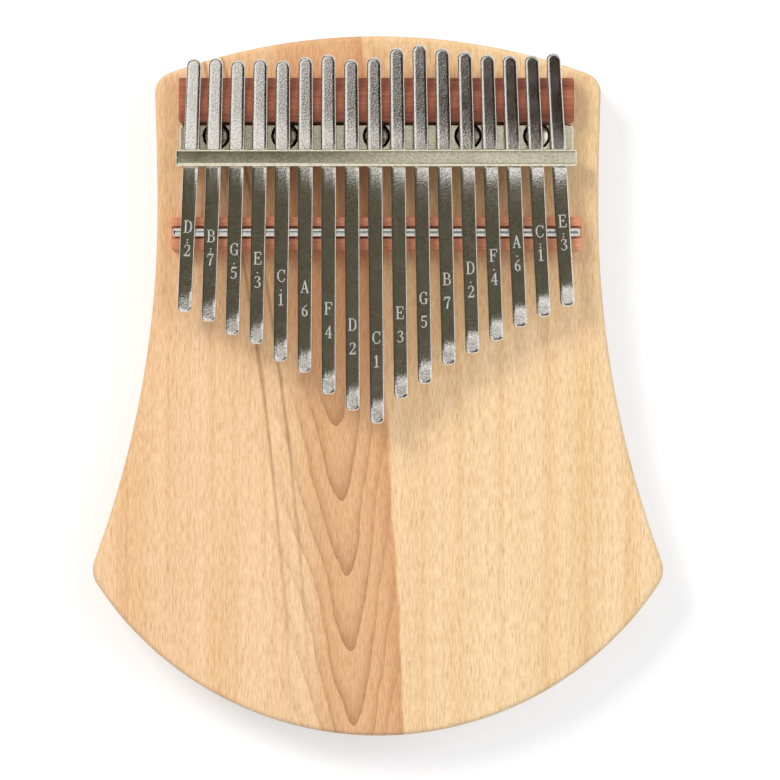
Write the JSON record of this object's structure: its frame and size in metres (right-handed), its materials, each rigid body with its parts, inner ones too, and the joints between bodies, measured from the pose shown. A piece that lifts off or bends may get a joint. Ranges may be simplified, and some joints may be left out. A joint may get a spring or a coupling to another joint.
{
  "type": "kalimba",
  "caption": "Flat-board thumb piano: a flared solid wooden board with spring steel tines held by a screwed metal bar between a wooden back bridge and a rod on a front bridge.",
  "frame": {"origin": "under the middle of the board, in the plane of its flat back face", "axes": "+Y along the board from the playing tips towards the tine tails, +Z out of the playing face, +X to the player's right as seen from above the playing face"},
  "size_m": [0.1598, 0.196, 0.0321],
  "materials": {
    "board_wood": "satin, pale straw hardwood with pores",
    "back_bridge_wood": "satin, red-brown hardwood",
    "front_bridge_wood": "satin, salmon-red hardwood",
    "rod_steel": "polished plated steel",
    "bracket_nickel": "polished plated casting",
    "screw_nickel": "polished plated steel",
    "tine_steel": "plated spring steel, finely speckled"
  },
  "bodies": {
    "frame": {"board": "board_wood", "back_bridge": "back_bridge_wood", "front_bridge": "front_bridge_wood", "front_rod": "rod_steel", "clamp_bracket": "bracket_nickel", "bracket_screw_1": "screw_nickel", "bracket_screw_2": "screw_nickel", "bracket_screw_3": "screw_nickel", "bracket_screw_4": "screw_nickel", "bracket_screw_5": "screw_nickel"},
    "tine_01": {"tine_01": "tine_steel"},
    "tine_02": {"tine_02": "tine_steel"},
    "tine_03": {"tine_03": "tine_steel"},
    "tine_04": {"tine_04": "tine_steel"},
    "tine_05": {"tine_05": "tine_steel"},
    "tine_06": {"tine_06": "tine_steel"},
    "tine_07": {"tine_07": "tine_steel"},
    "tine_08": {"tine_08": "tine_steel"},
    "tine_09": {"tine_09": "tine_steel"},
    "tine_10": {"tine_10": "tine_steel"},
    "tine_11": {"tine_11": "tine_steel"},
    "tine_12": {"tine_12": "tine_steel"},
    "tine_13": {"tine_13": "tine_steel"},
    "tine_14": {"tine_14": "tine_steel"},
    "tine_15": {"tine_15": "tine_steel"},
    "tine_16": {"tine_16": "tine_steel"},
    "tine_17": {"tine_17": "tine_steel"}
  },
  "joints": [
    {"name": "pluck_01", "type": "hinge", "parent": "frame", "child": "tine_01", "pos_m": [-0.05289, 0.0428, 0.026], "axis": [1, 0, 0], "range_deg": [-0.39, 0.39], "stiffness_Nm_per_rad": 6.5},
    {"name": "pluck_02", "type": "hinge", "parent": "frame", "child": "tine_02", "pos_m": [-0.04636, 0.0428, 0.026], "axis": [1, 0, 0], "range_deg": [-0.4, 0.46], "stiffness_Nm_per_rad": 6.13},
    {"name": "pluck_03", "type": "hinge", "parent": "frame", "child": "tine_03", "pos_m": [-0.03983, 0.0428, 0.026], "axis": [1, 0, 0], "range_deg": [-0.4, 0.58], "stiffness_Nm_per_rad": 5.67},
    {"name": "pluck_04", "type": "hinge", "parent": "frame", "child": "tine_04", "pos_m": [-0.0333, 0.0428, 0.026], "axis": [1, 0, 0], "range_deg": [-0.4, 0.66], "stiffness_Nm_per_rad": 5.4},
    {"name": "pluck_05", "type": "hinge", "parent": "frame", "child": "tine_05", "pos_m": [-0.02677, 0.0428, 0.026], "axis": [1, 0, 0], "range_deg": [-0.4, 0.84], "stiffness_Nm_per_rad": 4.93},
    {"name": "pluck_06", "type": "hinge", "parent": "frame", "child": "tine_06", "pos_m": [-0.02024, 0.0428, 0.026], "axis": [1, 0, 0], "range_deg": [-0.4, 0.96], "stiffness_Nm_per_rad": 4.67},
    {"name": "pluck_07", "type": "hinge", "parent": "frame", "child": "tine_07", "pos_m": [-0.01371, 0.0428, 0.026], "axis": [1, 0, 0], "range_deg": [-0.4, 1.22], "stiffness_Nm_per_rad": 4.25},
    {"name": "pluck_08", "type": "hinge", "parent": "frame", "child": "tine_08", "pos_m": [-0.00718, 0.0428, 0.026], "axis": [1, 0, 0], "range_deg": [-0.4, 1.43], "stiffness_Nm_per_rad": 3.98},
    {"name": "pluck_09", "type": "hinge", "parent": "frame", "child": "tine_09", "pos_m": [-0.00065, 0.0428, 0.026], "axis": [1, 0, 0], "range_deg": [-0.4, 1.6], "stiffness_Nm_per_rad": 3.78},
    {"name": "pluck_10", "type": "hinge", "parent": "frame", "child": "tine_10", "pos_m": [0.00588, 0.0428, 0.026], "axis": [1, 0, 0], "range_deg": [-0.4, 1.27], "stiffness_Nm_per_rad": 4.17},
    {"name": "pluck_11", "type": "hinge", "parent": "frame", "child": "tine_11", "pos_m": [0.01241, 0.0428, 0.026], "axis": [1, 0, 0], "range_deg": [-0.4, 1.09], "stiffness_Nm_per_rad": 4.44},
    {"name": "pluck_12", "type": "hinge", "parent": "frame", "child": "tine_12", "pos_m": [0.01894, 0.0428, 0.026], "axis": [1, 0, 0], "range_deg": [-0.4, 0.87], "stiffness_Nm_per_rad": 4.85},
    {"name": "pluck_13", "type": "hinge", "parent": "frame", "child": "tine_13", "pos_m": [0.02547, 0.0428, 0.026], "axis": [1, 0, 0], "range_deg": [-0.4, 0.76], "stiffness_Nm_per_rad": 5.13},
    {"name": "pluck_14", "type": "hinge", "parent": "frame", "child": "tine_14", "pos_m": [0.032, 0.0428, 0.026], "axis": [1, 0, 0], "range_deg": [-0.4, 0.63], "stiffness_Nm_per_rad": 5.48},
    {"name": "pluck_15", "type": "hinge", "parent": "frame", "child": "tine_15", "pos_m": [0.03853, 0.0428, 0.026], "axis": [1, 0, 0], "range_deg": [-0.4, 0.51], "stiffness_Nm_per_rad": 5.92},
    {"name": "pluck_16", "type": "hinge", "parent": "frame", "child": "tine_16", "pos_m": [0.04506, 0.0428, 0.026], "axis": [1, 0, 0], "range_deg": [-0.4, 0.43], "stiffness_Nm_per_rad": 6.31},
    {"name": "pluck_17", "type": "hinge", "parent": "frame", "child": "tine_17", "pos_m": [0.05159, 0.0428, 0.026], "axis": [1, 0, 0], "range_deg": [-0.35, 0.35], "stiffness_Nm_per_rad": 6.75}
  ]
}
